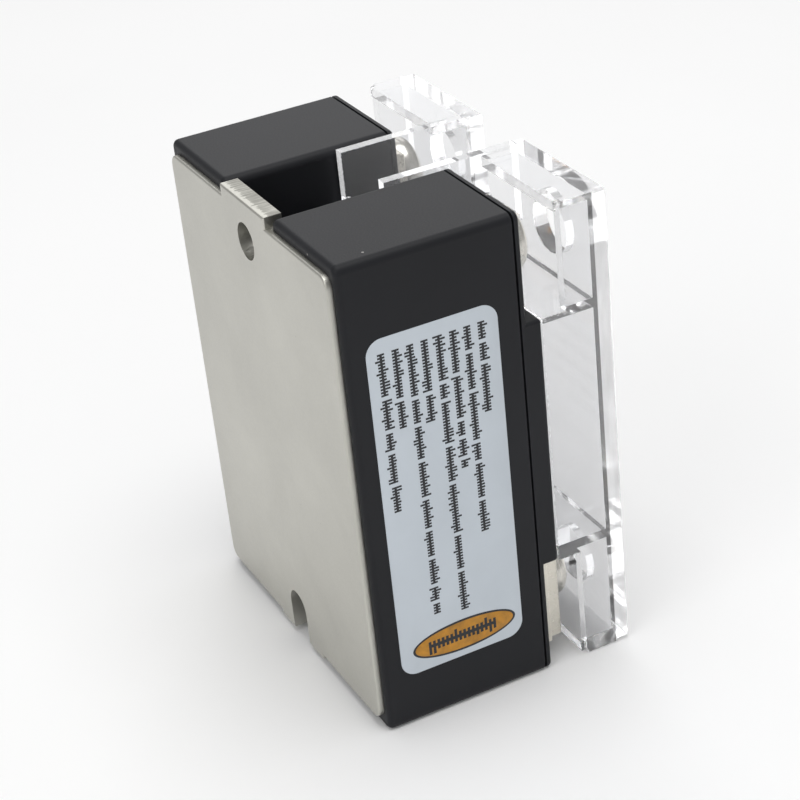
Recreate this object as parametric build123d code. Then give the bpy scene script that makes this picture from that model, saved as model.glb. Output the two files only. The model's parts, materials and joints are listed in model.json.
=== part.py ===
from build123d import *
import os

# A panel-mount solid state relay: a moulded case on a metal base plate, a terminal deck with four
# screw terminals, the power parts inside, and a clear cover that pushes on over the terminals.
# All sizes are millimetres. The relay stands on one end. X runs across it, Y from the terminals
# (-Y) to the base plate (+Y), and Z along its length, towards the input terminals.
# The origin is the bottom centre of the whole relay. "Depth" runs from the base plate's outer
# face (0) towards the cover, so a face at depth d lies at Y = overall_depth / 2 - d.

# ---- overall and case ------------------------------------------------------------------------
width = 45.0                # across the case
length = 60.0               # along the case
overall_depth = 33.5        # base plate's outer face to the cover's outer face
wall = 1.5                  # case wall
case_corner = 1.0           # rounding of the long outer edges
mouth_corner = 1.0          # rounding at the mouths of the end notches
case_front = 21.7           # depth where the case ends and the terminal deck begins
rim_round = 0.7             # rounding of the case's back rim
parting_wide = 0.3          # shadow groove between the case and the deck
parting_deep = 0.4
notch_half = 6.5            # half the width of the end notches
notch_reach = 11.5          # how far each notch runs in from its end
notch_corner = 2.5          # rounding in the bottom corners of the notches

# ---- base plate ------------------------------------------------------------------------------
plate_thick = 2.3
plate_proud = 0.7           # how far the plate stands out of the case
plate_side_rim = 1.0        # case rim beside the plate
plate_end_rim = 1.35        # case rim at the plate's ends
plate_corner = 1.5
plate_gap = 0.05            # clearance round the plate in its recess
plate_edge = 0.25           # rounding of the plate's outer edges
tongue_gap = 0.5            # clearance between the plate's tongues and the notch walls
lower_tongue_reach = 0.6    # the slotted tongue ends short of the case's end
fixing_radius = 2.25        # round hole, and half the slot's width
fixing_inset = 5.0          # fixing centres from the case's ends

# ---- terminal deck ---------------------------------------------------------------------------
deck_depth = 22.65          # depth of the face that the terminals lie on
block_depth = 24.5          # depth of the raised middle block's face
block_low = 14.8            # lower end of the middle block
block_high = 46.6           # upper end of the middle block
deck_round = 0.4            # rounding of the deck's front edges
plug_reach = 1.5            # how far the deck's plug goes into the case
fit_gap = 0.1               # clearance of the plug in the case
label_thick = 0.12

# ---- terminals -------------------------------------------------------------------------------
terminal_offset = 12.7      # screw centres from the middle
terminal_inset = 7.6        # screw centres from the ends
screw_radius = 1.96         # M4 screw, running in a nut of the nominal radius
thread_radius = 2.0
nut_side = 7.0
nut_thick = 2.2
nut_gap = 0.1
boss_wall = 0.7             # wall round the nut pocket
well_radius = 2.4           # blind well behind the nut
well_floor = 0.8
boss_reach = 6.9            # how far the screw bosses go behind the case's front
pass_gap = 0.2              # radial clearance of the screw in strips and clamps
head_radius = 4.0
head_height = 3.0
head_round = 1.3
recess_width = 0.9          # cross recess
recess_span = 4.4
recess_depth = 1.7
screw_tip_gap = 0.6         # between the screw's tip and the bottom of its well
screw_tip_chamfer = 0.4
strip_inner = 7.6           # contact strip's edges, from the middle
output_strip_outer = 20.4
input_strip_outer = 17.8
output_end_inset = 2.2      # contact strip's free end, from the case's end
input_end_inset = 3.3
clamp_inset = 0.35          # the clamp is smaller than its strip by this on every side
clamp_groove = 0.25         # depth of the grip grooves under the clamp
groove_count = 2            # grooves on each side of the screw
groove_wide = 0.4
groove_pitch = 0.9
groove_start = 0.7          # first groove's middle, from the screw's hole
riser_width = 6.0           # the strip's narrow leg through the deck
riser_gap = 0.1             # clearance of that leg in its slot
foot_reach = 4.5            # the foot's length on its pad or board
output_strip_thick = 1.4
output_clamp_thick = 1.6
input_strip_thick = 0.8
input_clamp_thick = 0.8
washer_thick = 0.7          # split spring washers of the output screws
washer_outer = 3.6
washer_slit = 0.7

# ---- clear cover -----------------------------------------------------------------------------
cover_end_gap = 0.2         # the cover is shorter than the case by this at each end
cover_corner = 0.5
cover_round = 0.25          # rounding of the cover's front edges
front_thick = 1.8
skirt_thick = 1.3
skirt_depth = 27.6          # free edge of the side skirts beside the terminals
end_skirt_depth = 27.2      # free edge of the end skirts
skirt_corner = 0.5          # rounding of the side skirts' free corners
partition_thick = 1.2
seat_gap = 0.1              # the cover's skirts stop short of the block's face
fin_thick = 1.3
fin_gap = 0.4               # between each fin and its notch wall
fin_depth = 14.8            # depth of the fins' tips
fin_reach = 8.7             # length of the fins' legs along the relay, from the case's end
bead_long = 2.5             # retaining bead at the inner end of each leg
bead_gap = 0.05             # clearance of the retaining beads on the notch walls
cover_notch_reach = 10.5    # cut between the fins in the front wall
cover_notch_corner = 0.8
access_radius = 3.5         # screwdriver holes

# ---- labels ----------------------------------------------------------------------------------
side_label_back = 3.1       # side label: depth where it starts
side_label_wide = 16.0
side_label_low = 6.8
side_label_long = 43.8
side_label_corner = 2.0
front_label_wide = 36.0
front_label_margin = 2.6    # from the partitions' inner faces
front_label_corner = 1.0
lens_radius = 1.5
lens_gap = 0.05
lens_inset = 3.6            # indicator's centre from the block's upper end
lens_proud = 0.15

# ---- inside ----------------------------------------------------------------------------------
ceramic_thick = 0.63
ceramic_wide = 36.0
ceramic_long = 27.0
ceramic_gap = 1.6           # ceramic's lower edge above the output strips' legs
copper_thick = 0.3
pad_wide = 12.0
pad_margin = 1.2            # ceramic left bare round the copper
gate_pad = 3.0
die_side = 8.0
die_thick = 0.4
die_inset = 1.5             # chip's edge from the upper end of its pad
board_back = 11.0           # depth of the board's back face
board_thick = 1.6
board_gap = 0.15            # clearance of the board in the case
board_lower_gap = 1.3       # board's lower edge above the output strips' legs
board_upper_gap = 0.6       # board's upper edge below the input strips' legs
ledge_reach = 1.4           # small ledges that carry the board
ledge_thick = 1.2
ledge_long = 4.0
pin_radius = 0.4
pin_gap = 0.05
pin_tail = 0.6              # gate pins stand out of the board by this
potting_front = 9.4
part_gap = 0.9              # least space between the parts on the board
opto_wide = 6.4             # six-leg isolator
opto_long = 8.8
opto_tall = 3.5
opto_lift = 0.5             # its body stands this far off the board
leg_pitch = 2.54
leg_wide = 0.6
leg_thick = 0.3
leg_height = 1.9            # where the legs leave the isolator's sides
capacitor_wide = 6.0
capacitor_long = 12.0
capacitor_tall = 6.2
capacitor_round = 0.5
resistor_radius = 1.6
resistor_long = 9.0
chip_long = 2.0
chip_wide = 1.2
chip_tall = 0.6
can_radius = 1.9            # drive transistor
can_tall = 4.4
led_tall = 2.6
led_gap = 0.4               # between the LED and its light pipe

# ---- derived ---------------------------------------------------------------------------------
middle = length / 2
half_width = width / 2
inner_half = half_width - wall
plate_width = width - 2 * plate_side_rim
plate_length = length - 2 * plate_end_rim
tongue_width = 2 * (notch_half - tongue_gap)
block_middle = (block_low + block_high) / 2
boss_half = nut_side / 2 + nut_gap + boss_wall
boss_back = case_front - boss_reach
well_back = boss_back + well_floor
cover_inner = overall_depth - front_thick
seat_depth = block_depth + seat_gap
fin_outer = notch_half - fin_gap
fin_inner = fin_outer - fin_thick
cover_top = length - cover_end_gap
boss_end = terminal_inset + boss_half                      # the bosses' inner faces, from the case's ends
output_leg = max(block_low - riser_gap - output_strip_thick, boss_end + riser_gap)    # lower faces of the legs
input_leg = min(block_high + riser_gap, length - boss_end - riser_gap - input_strip_thick)
ceramic_low = output_leg + output_strip_thick + ceramic_gap
ceramic_front = plate_thick + ceramic_thick
copper_front = ceramic_front + copper_thick
board_front = board_back + board_thick
board_low = output_leg + output_strip_thick + board_lower_gap
board_high = input_leg - board_upper_gap
lens_z = block_high - lens_inset

# Each terminal: its number, side (X), end (-1 the output end, +1 the input end), strip and clamp
# thickness, spring washer thickness, lower face of its leg, the depth its foot lies on, and its
# strip's outer edge and free end.
TERMINALS = [
    ("output_1", -1, -1, output_strip_thick, output_clamp_thick, washer_thick, output_leg, copper_front,
     output_strip_outer, output_end_inset),
    ("output_2", 1, -1, output_strip_thick, output_clamp_thick, washer_thick, output_leg, copper_front,
     output_strip_outer, output_end_inset),
    ("input_3", -1, 1, input_strip_thick, input_clamp_thick, 0.0, input_leg, board_front,
     input_strip_outer, input_end_inset),
    ("input_4", 1, 1, input_strip_thick, input_clamp_thick, 0.0, input_leg, board_front,
     input_strip_outer, input_end_inset),
]


# ---- helpers ---------------------------------------------------------------------------------
def prism(sketch, back, front):
    """A sketch in X and Z, made solid between two depths."""
    base = Plane(origin=(0, overall_depth / 2 - back, 0), x_dir=(1, 0, 0), z_dir=(0, -1, 0))
    return extrude(base * sketch, amount=front - back)


def slab(x_low, x_high, back, front, z_low, z_high):
    """A box between two X, two depths and two Z."""
    face = Pos((x_low + x_high) / 2, (z_low + z_high) / 2) * Rectangle(x_high - x_low, z_high - z_low)
    return prism(face, back, front)


def disc(x, z, radius, back, front):
    """A cylinder along Y at one X and Z, between two depths."""
    return prism(Pos(x, z) * Circle(radius), back, front)


def notches(half, reach, corner):
    """The two cuts at the ends, with rounded bottom corners, open past the ends."""
    past_end = length / 2
    cut = RectangleRounded(2 * half, reach + past_end, corner)
    offset = middle - reach + (reach + past_end) / 2
    return Pos(0, middle + offset) * cut + Pos(0, middle - offset) * cut


def outline(inset, corner):
    """The case's plan in X and Z, shrunk by inset all round, the notch walls included."""
    whole = Pos(0, middle) * RectangleRounded(width - 2 * inset, length - 2 * inset, corner)
    return whole - notches(notch_half + inset, notch_reach + inset, notch_corner + inset)


def outer_outline():
    """The case's outside, with the corners at the notch mouths rounded."""
    plan = outline(0, case_corner)
    mouths = [v for v in plan.vertices() if abs(abs(v.X) - notch_half) < 0.01 and
              abs(abs(v.Y - middle) - middle) < 0.01]
    return fillet(mouths, mouth_corner)


def facing_edges(solid, front_depth, tolerance=0.01):
    """The edges that lie wholly at one depth."""
    y = overall_depth / 2 - front_depth
    return [e for e in solid.edges() if abs(e.bounding_box().min.Y - y) < tolerance and
            abs(e.bounding_box().max.Y - y) < tolerance]


def terminal_z(end):
    """Height of the screws at one end: -1 is the output end, +1 the input end."""
    return middle + end * (middle - terminal_inset)


# ---- case, plate and deck --------------------------------------------------------------------
def plate_outline(gap=0.0):
    """The plate without its tongues, grown by gap all round."""
    return Pos(0, middle) * RectangleRounded(plate_width + 2 * gap, plate_length + 2 * gap, plate_corner + gap)


def base_plate():
    """Metal plate with a tongue at each end, a round hole near one end and an open slot at the other."""
    lower_end = plate_end_rim - lower_tongue_reach
    tongue_middle = (lower_end + length) / 2
    plan = plate_outline() + Pos(0, tongue_middle) * Rectangle(tongue_width, length - lower_end)
    plate = prism(plan, 0, plate_thick)
    plate = fillet(facing_edges(plate, 0), plate_edge)
    openings = Pos(0, length - fixing_inset) * Circle(fixing_radius)
    openings += Pos(0, fixing_inset) * Circle(fixing_radius)
    openings += Pos(0, fixing_inset / 2) * Rectangle(2 * fixing_radius, fixing_inset)
    return plate - prism(openings, -1, plate_thick + 1)


def side_label_place(thick_low, thick_high):
    """The side label's shape, between two distances in from the case's -X face."""
    face_plane = Plane(origin=(-half_width + thick_low, 0, 0), x_dir=(0, 1, 0), z_dir=(1, 0, 0))
    y_middle = overall_depth / 2 - side_label_back - side_label_wide / 2
    z_middle = side_label_low + side_label_long / 2
    shape = RectangleRounded(side_label_wide, side_label_long, side_label_corner)
    return extrude(face_plane * (Pos(y_middle, z_middle) * shape), amount=thick_high - thick_low)


def housing_case():
    """Moulded case: walls all round and round both notches, open at the back and the front."""
    shell = prism(outer_outline(), plate_proud, case_front)
    shell = fillet(facing_edges(shell, plate_proud), rim_round)
    shell -= prism(outline(wall, case_corner), plate_proud, case_front)
    shell -= prism(plate_outline(plate_gap), 0, plate_thick)
    for side in (-1, 1):
        for step in (-1, 1):
            z_ledge = (board_low + board_high) / 2 + step * (board_high - board_low) / 4
            x_near = side * (inner_half - ledge_reach)
            x_far = side * (inner_half + wall / 2)
            shell += slab(min(x_near, x_far), max(x_near, x_far), board_back - ledge_thick, board_back,
                          z_ledge - ledge_long / 2, z_ledge + ledge_long / 2)
    return shell - side_label_place(-1, label_thick)


def screw_boss(side, end):
    """The square boss behind one terminal."""
    x = side * terminal_offset
    z = terminal_z(end)
    return slab(x - boss_half, x + boss_half, boss_back, case_front, z - boss_half, z + boss_half)


def riser_slot(side, thick, leg_low):
    """The slot that a strip's leg passes through the deck in."""
    x = side * terminal_offset
    half = riser_width / 2 + riser_gap
    return slab(x - half, x + half, case_front - plug_reach - 1, deck_depth + 1,
                leg_low - riser_gap, leg_low + thick + riser_gap)


def strip_limits(side, end, thick, leg_low, outer, end_inset):
    """Limits of a contact strip's flat: lowest and highest X, its free end and its bend in Z."""
    z_free = middle + end * (middle - end_inset)
    z_bend = leg_low + thick if end < 0 else leg_low
    return min(side * strip_inner, side * outer), max(side * strip_inner, side * outer), z_free, z_bend


def strip_recess(side, end, thick, leg_low, outer, end_inset):
    """The room that a contact strip's flat takes on the deck, with clearance."""
    x_low, x_high, z_free, z_bend = strip_limits(side, end, thick, leg_low, outer, end_inset)
    z_inner = z_bend - end * riser_gap
    return slab(x_low - riser_gap, x_high + riser_gap, deck_depth, deck_depth + thick + riser_gap,
                min(z_free, z_inner), max(z_free, z_inner))


def front_label_place(back, front):
    z_low = block_low + partition_thick + front_label_margin
    z_high = lens_z - lens_radius - front_label_margin / 2
    shape = RectangleRounded(front_label_wide, z_high - z_low, front_label_corner)
    return prism(Pos(0, (z_low + z_high) / 2) * shape, back, front)


def terminal_deck():
    """The front moulding: a lid with the terminal faces, the raised block and the nut pockets."""
    lid = prism(outer_outline(), case_front + parting_wide, deck_depth)
    lid = fillet(facing_edges(lid, deck_depth), deck_round)
    block_plan = Pos(0, block_middle) * RectangleRounded(width, block_high - block_low, deck_round)
    block = prism(block_plan, case_front + parting_wide, block_depth)
    lid += fillet(facing_edges(block, block_depth), deck_round)
    lid += prism(outline(parting_deep, case_corner), case_front, case_front + parting_wide)
    lid += prism(outline(wall + fit_gap, case_corner), case_front - plug_reach, case_front)
    for name, side, end, *rest in TERMINALS:
        lid += screw_boss(side, end)
    for name, side, end, thick, clamp_thick, washer, leg_low, foot_depth, outer, end_inset in TERMINALS:
        x = side * terminal_offset
        z = terminal_z(end)
        half = nut_side / 2 + nut_gap
        lid -= slab(x - half, x + half, deck_depth - nut_thick, deck_depth + 1, z - half, z + half)
        lid -= disc(x, z, well_radius, well_back, deck_depth)
        lid -= riser_slot(side, thick, leg_low)
        lid -= strip_recess(side, end, thick, leg_low, outer, end_inset)
    lid -= disc(0, lens_z, lens_radius + lens_gap, case_front - plug_reach - 1, block_depth + 1)
    lid -= front_label_place(block_depth - label_thick, block_depth + 1)
    return lid


# ---- terminals -------------------------------------------------------------------------------
def contact_strip(side, end, thick, leg_low, foot_depth, outer, end_inset):
    """One bent strip: the flat under the screw, the leg through the deck and the foot inside."""
    x = side * terminal_offset
    x_low, x_high, z_free, z_bend = strip_limits(side, end, thick, leg_low, outer, end_inset)
    strip = slab(x_low, x_high, deck_depth, deck_depth + thick, min(z_free, z_bend), max(z_free, z_bend))
    strip += slab(x - riser_width / 2, x + riser_width / 2, foot_depth, deck_depth + thick, leg_low, leg_low + thick)
    foot_end = z_bend - end * foot_reach
    strip += slab(x - riser_width / 2, x + riser_width / 2, foot_depth, foot_depth + thick,
                  min(z_bend, foot_end), max(z_bend, foot_end))
    return strip - disc(x, terminal_z(end), screw_radius + pass_gap, deck_depth - 1, deck_depth + thick + 1)


def clamp_plate(side, end, thick, clamp_thick, leg_low, outer, end_inset):
    """The plate under the screw that presses the wire down, with grip grooves on its underside."""
    x = side * terminal_offset
    back = deck_depth + thick
    x_low, x_high, z_free, z_bend = strip_limits(side, end, thick, leg_low, outer, end_inset)
    z_far = z_free - end * clamp_inset
    z_near = min(z_bend, block_low) - clamp_inset if end < 0 else max(z_bend, block_high) + clamp_inset
    z_low = min(z_far, z_near)
    z_high = max(z_far, z_near)
    plate = slab(x_low + clamp_inset, x_high - clamp_inset, back, back + clamp_thick, z_low, z_high)
    plate = fillet(facing_edges(plate, back + clamp_thick), clamp_groove)
    for side_of_screw in (-1, 1):
        for index in range(groove_count):
            x_groove = x + side_of_screw * (screw_radius + pass_gap + groove_start + index * groove_pitch)
            plate -= slab(x_groove - groove_wide / 2, x_groove + groove_wide / 2, back - 1, back + clamp_groove,
                          z_low - 1, z_high + 1)
    return plate - disc(x, terminal_z(end), screw_radius + pass_gap, back - 1, back + clamp_thick + 1)


def screw_seat(thick, clamp_thick, washer):
    """Depth of the underside of a screw's head."""
    return deck_depth + thick + clamp_thick + washer


def terminal_screw(side, end, seat):
    """Pan-head screw with a cross recess; its shank runs through the nut into the blind well."""
    x = side * terminal_offset
    z = terminal_z(end)
    top = seat + head_height
    head = disc(x, z, head_radius, seat, top)
    head = fillet(facing_edges(head, top), head_round)
    for span, narrow in ((recess_span, recess_width), (recess_width, recess_span)):
        head -= slab(x - span / 2, x + span / 2, top - recess_depth, top + 1, z - narrow / 2, z + narrow / 2)
    shank = disc(x, z, screw_radius, well_back + screw_tip_gap, seat)
    tip = facing_edges(shank, well_back + screw_tip_gap)
    return head + chamfer(tip, screw_tip_chamfer)


def spring_washer(side, end, seat):
    """Split ring between an output screw's head and its clamp."""
    x = side * terminal_offset
    z = terminal_z(end)
    ring = disc(x, z, washer_outer, seat - washer_thick, seat)
    ring -= disc(x, z, screw_radius + pass_gap, seat - washer_thick - 1, seat + 1)
    return ring - slab(x - washer_slit / 2, x + washer_slit / 2, seat - washer_thick - 1, seat + 1,
                       z, z + washer_outer + 1)


def square_nut(side, end):
    x = side * terminal_offset
    z = terminal_z(end)
    half = nut_side / 2
    nut = slab(x - half, x + half, deck_depth - nut_thick, deck_depth, z - half, z + half)
    return nut - disc(x, z, thread_radius, deck_depth - nut_thick - 1, deck_depth + 1)


# ---- clear cover -----------------------------------------------------------------------------
def cover_front():
    """The cover's front wall, with the driver holes and the cut between the fins at each end."""
    plan = Pos(0, middle) * RectangleRounded(width, length - 2 * cover_end_gap, cover_corner)
    front = prism(plan, cover_inner, overall_depth)
    front = fillet(facing_edges(front, overall_depth), cover_round)
    front -= prism(notches(fin_inner, cover_notch_reach, cover_notch_corner), cover_inner - 1, overall_depth + 1)
    for name, side, end, *rest in TERMINALS:
        front -= disc(side * terminal_offset, terminal_z(end), access_radius, cover_inner - 1, overall_depth + 1)
    return front


def side_skirt(side):
    """One side wall: deep along the block, shallower beside the terminals, with round corners."""
    x_low = min(side * half_width, side * (half_width - skirt_thick))
    x_high = max(side * half_width, side * (half_width - skirt_thick))
    joint = cover_inner + cover_round
    wall_side = slab(x_low, x_high, skirt_depth, joint, cover_end_gap, cover_top)
    y_edge = overall_depth / 2 - skirt_depth
    corners = [e for e in wall_side.edges().filter_by(Axis.X) if abs(e.center().Y - y_edge) < 0.01]
    wall_side = fillet(corners, skirt_corner)
    return wall_side + slab(x_low, x_high, seat_depth, joint, block_low, block_high)


def end_skirt(side, end):
    """Half of one end wall, from its fin to the side wall."""
    x_low = min(side * fin_inner, side * (half_width - skirt_thick / 2))
    x_high = max(side * fin_inner, side * (half_width - skirt_thick / 2))
    z_out = middle + end * (middle - cover_end_gap)
    z_in = z_out - end * skirt_thick
    return slab(x_low, x_high, end_skirt_depth, cover_inner + cover_round, min(z_in, z_out), max(z_in, z_out))


def partition(z_low):
    """Cross wall between the terminals and the middle of the cover."""
    reach = half_width - skirt_thick / 2
    return slab(-reach, reach, seat_depth, cover_inner + cover_round, z_low, z_low + partition_thick)


def fin(side, end):
    """Insulating wall beside a notch, whose leg goes down into the notch and ends in a bead."""
    x_low = min(side * fin_inner, side * fin_outer)
    x_high = max(side * fin_inner, side * fin_outer)
    z_out = middle + end * middle
    z_leg = z_out - end * fin_reach
    z_block = block_high if end > 0 else block_low
    upper = slab(x_low, x_high, deck_depth + seat_gap, cover_inner + cover_round,
                 min(z_block, z_out), max(z_block, z_out))
    leg = slab(x_low, x_high, fin_depth, deck_depth + 1, min(z_leg, z_out), max(z_leg, z_out))
    bead_radius = fin_gap - bead_gap
    z_bead = z_leg if end > 0 else z_leg - bead_long
    bead_plane = Plane(origin=(side * fin_outer, overall_depth / 2 - fin_depth - 2 * bead_radius, z_bead),
                       x_dir=(1, 0, 0), z_dir=(0, 0, 1))
    bead = extrude(bead_plane * Circle(bead_radius), amount=bead_long)
    return upper + leg + bead


def clear_cover():
    cover = cover_front()
    for side in (-1, 1):
        cover += side_skirt(side)
        for end in (-1, 1):
            cover += end_skirt(side, end)
            cover += fin(side, end)
    for z_low in (block_low, block_high - partition_thick):
        cover += partition(z_low)
    return cover


# ---- inside ----------------------------------------------------------------------------------
def pad_places():
    """The copper pads on the ceramic: name, X limits and Z limits."""
    z_low = ceramic_low + pad_margin
    z_high = ceramic_low + ceramic_long - pad_margin
    far = ceramic_wide / 2 - pad_margin
    gate_low = z_high - gate_pad
    places = [(-far, -far + pad_wide, z_low, z_high), (far - pad_wide, far, z_low, z_high)]
    for column in (-1, 1):
        x = column * (gate_pad + pad_margin) / 2
        places.append((x - gate_pad / 2, x + gate_pad / 2, gate_low, z_high))
        places.append((x - gate_pad / 2, x + gate_pad / 2, gate_low - gate_pad - pad_margin, gate_low - pad_margin))
    return places


def ceramic_substrate():
    half = ceramic_wide / 2
    return slab(-half, half, plate_thick, ceramic_front, ceramic_low, ceramic_low + ceramic_long)


def copper_pads():
    return Compound([slab(a, b, ceramic_front, copper_front, c, d) for a, b, c, d in pad_places()])


def thyristor(side):
    """One power chip on its copper pad, clear of the strip's foot."""
    x_low, x_high, z_low, z_high = pad_places()[0 if side < 0 else 1]
    x = (x_low + x_high) / 2
    z = z_high - die_inset - die_side / 2
    return slab(x - die_side / 2, x + die_side / 2, copper_front, copper_front + die_thick,
                z - die_side / 2, z + die_side / 2)


def gate_pin_places():
    return [((a + b) / 2, (c + d) / 2) for a, b, c, d in pad_places()[2:]]


def gate_pins():
    """Four pins from the gate pads up through the control board."""
    return Compound([disc(x, z, pin_radius, copper_front, board_front + pin_tail) for x, z in gate_pin_places()])


def control_board():
    half = inner_half - board_gap
    board = slab(-half, half, board_back, board_front, board_low, board_high)
    for x, z in gate_pin_places():
        board -= disc(x, z, pin_radius + pin_gap, board_back - 1, board_front + 1)
    return board


def on_board(x, z, wide, long, tall):
    """A box-shaped component on the board's front face, centred at X and Z."""
    return slab(x - wide / 2, x + wide / 2, board_front, board_front + tall, z - long / 2, z + long / 2)


def optocoupler():
    """Six-leg isolator in the middle of the board, just below the gate pins."""
    lowest_pin = min(z for x, z in gate_pin_places()) - pin_radius
    z = lowest_pin - part_gap - opto_long / 2
    body = on_board(0, z, opto_wide, opto_long, opto_tall) - on_board(0, z, opto_wide, opto_long, opto_lift)
    leg_x = opto_wide / 2 + leg_thick
    leg_top = board_front + leg_height
    for side in (-1, 1):
        for step in (-1, 0, 1):
            z_low = z + step * leg_pitch - leg_wide / 2
            z_high = z_low + leg_wide
            x_out = side * (leg_x + leg_thick)
            body += slab(min(side * leg_x, x_out), max(side * leg_x, x_out), board_front, leg_top, z_low, z_high)
            x_in = side * (opto_wide / 2 - leg_thick)
            body += slab(min(x_in, x_out), max(x_in, x_out), leg_top - leg_thick, leg_top, z_low, z_high)
    return body


def snubber_capacitor():
    z = board_low + part_gap + capacitor_long / 2
    body = on_board(-terminal_offset, z, capacitor_wide, capacitor_long, capacitor_tall)
    return fillet(facing_edges(body, board_front + capacitor_tall), capacitor_round)


def lying_resistor(x, z_low, radius, long):
    """A round resistor that lies along Z on the board."""
    tube_plane = Plane(origin=(x, overall_depth / 2 - board_front - radius, z_low), x_dir=(1, 0, 0), z_dir=(0, 0, 1))
    tube = extrude(tube_plane * Circle(radius), amount=long)
    return fillet(tube.edges().filter_by(GeomType.CIRCLE), radius / 3)


def snubber_resistor():
    return lying_resistor(terminal_offset, board_low + 2 * part_gap, resistor_radius, resistor_long)


def input_resistors():
    """Three chip resistors beside the input strip's foot."""
    x = terminal_offset - riser_width / 2 - part_gap - chip_long / 2
    top = board_high - part_gap - chip_wide / 2
    chips = [on_board(x, top - n * (chip_wide + part_gap), chip_long, chip_wide, chip_tall) for n in range(3)]
    return Compound(chips)


def drive_transistor():
    """Input current limiter, a can that is round on one side and flat on the other."""
    x = -terminal_offset + riser_width / 2 + part_gap + can_radius
    z = board_high - foot_reach - part_gap - can_radius
    can = disc(x, z, can_radius, board_front, board_front + can_tall)
    flat = slab(x - 2 * can_radius, x - can_radius / 2, board_front - 1, board_front + can_tall + 1,
                z - 2 * can_radius, z + 2 * can_radius)
    return can - flat


def indicator_led():
    body = disc(0, lens_z, lens_radius, board_front, board_front + led_tall)
    return fillet(facing_edges(body, board_front + led_tall), lens_radius * 0.6)


def light_pipe():
    """Clear rod that carries the indicator's light to the block's face."""
    front = block_depth + lens_proud
    rod = disc(0, lens_z, lens_radius, board_front + led_tall + led_gap, front)
    return fillet(facing_edges(rod, front), lens_proud)


def potting(inner_pieces):
    """The fill between the plate and just below the board, round everything that stands in it."""
    fill = prism(outline(wall, case_corner), plate_thick, potting_front)
    for piece in inner_pieces:
        fill -= piece
    return fill


# ---- build and write -------------------------------------------------------------------------
def build():
    pieces = {
        "base_plate": base_plate(),
        "housing_case": housing_case(),
        "terminal_deck": terminal_deck(),
        "clear_cover": clear_cover(),
        "side_label": side_label_place(0, label_thick),
        "front_label": front_label_place(block_depth - label_thick, block_depth),
        "ceramic_substrate": ceramic_substrate(),
        "copper_pads": copper_pads(),
        "thyristor_a": thyristor(-1),
        "thyristor_b": thyristor(1),
        "gate_pins": gate_pins(),
        "control_board": control_board(),
        "optocoupler": optocoupler(),
        "snubber_capacitor": snubber_capacitor(),
        "snubber_resistor": snubber_resistor(),
        "input_resistors": input_resistors(),
        "drive_transistor": drive_transistor(),
        "indicator_led": indicator_led(),
        "light_pipe": light_pipe(),
    }
    for name, side, end, thick, clamp_thick, washer, leg_low, foot_depth, outer, end_inset in TERMINALS:
        seat = screw_seat(thick, clamp_thick, washer)
        pieces[name + "_strip"] = contact_strip(side, end, thick, leg_low, foot_depth, outer, end_inset)
        pieces[name + "_nut"] = square_nut(side, end)
        pieces[name + "_clamp"] = clamp_plate(side, end, thick, clamp_thick, leg_low, outer, end_inset)
        pieces[name + "_screw"] = terminal_screw(side, end, seat)
        if washer:
            pieces[name + "_spring_washer"] = spring_washer(side, end, seat)
    in_potting = ["ceramic_substrate", "copper_pads", "thyristor_a", "thyristor_b", "gate_pins",
                  "output_1_strip", "output_2_strip"]
    pieces["potting_compound"] = potting([pieces[name] for name in in_potting])
    return pieces


os.makedirs("parts", exist_ok=True)
for node, shape in build().items():
    export_step(shape, "parts/" + node + ".step")
    print(node, "written")
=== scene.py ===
import json
import math

import bmesh
import bpy
import numpy as np
from bpy.props import FloatProperty, FloatVectorProperty, IntProperty, PointerProperty
from mathutils import Matrix, Vector


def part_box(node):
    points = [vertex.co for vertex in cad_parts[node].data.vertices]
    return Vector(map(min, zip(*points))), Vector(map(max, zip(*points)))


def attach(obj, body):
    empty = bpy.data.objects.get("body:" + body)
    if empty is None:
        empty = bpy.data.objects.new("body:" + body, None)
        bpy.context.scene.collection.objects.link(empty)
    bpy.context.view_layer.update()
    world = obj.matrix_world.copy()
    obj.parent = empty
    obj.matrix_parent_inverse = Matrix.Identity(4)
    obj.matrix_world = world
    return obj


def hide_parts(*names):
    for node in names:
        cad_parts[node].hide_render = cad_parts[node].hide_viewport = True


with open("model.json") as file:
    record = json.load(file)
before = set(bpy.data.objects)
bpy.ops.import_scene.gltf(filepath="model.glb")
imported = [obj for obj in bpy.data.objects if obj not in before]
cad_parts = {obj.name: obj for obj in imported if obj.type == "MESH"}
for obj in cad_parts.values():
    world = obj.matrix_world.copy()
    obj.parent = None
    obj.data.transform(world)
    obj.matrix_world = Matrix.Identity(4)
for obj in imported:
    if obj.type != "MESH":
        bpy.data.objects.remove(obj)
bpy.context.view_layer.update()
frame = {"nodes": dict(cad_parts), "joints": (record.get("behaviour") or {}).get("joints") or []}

bl_info = {
    "name": "Solid State Relay Looks",
    "version": (1, 0, 0),
    "blender": (4, 5, 0),
    "location": "3D View > Sidebar > Relay",
    "description": "Builds the finishes and fine pieces of a block solid state relay round its CAD frame",
    "category": "Object",
}

MM = 0.001
TERMINALS = ("output_1", "output_2", "input_3", "input_4")
FILM_EDGE = 0.03 * MM       # rounding of a label film's edge
INK_LAYER = 0.012 * MM      # thickness of one printed layer


# ---- properties ------------------------------------------------------------------------------
def colour(name, description, default):
    """A colour property, linear from 0 to 1."""
    return FloatVectorProperty(name=name, description=description, default=default, size=3,
                               min=0.0, max=1.0, subtype="COLOR")


def length(name, description, default):
    """A length property, whose default is given in millimetres."""
    return FloatProperty(name=name, description=description, default=default * MM, min=0.0,
                         precision=5, subtype="DISTANCE", unit="LENGTH")


def angle(name, description, default):
    """An angle property, whose default is given in degrees."""
    return FloatProperty(name=name, description=description, default=math.radians(default),
                         subtype="ANGLE", unit="ROTATION")


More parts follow.
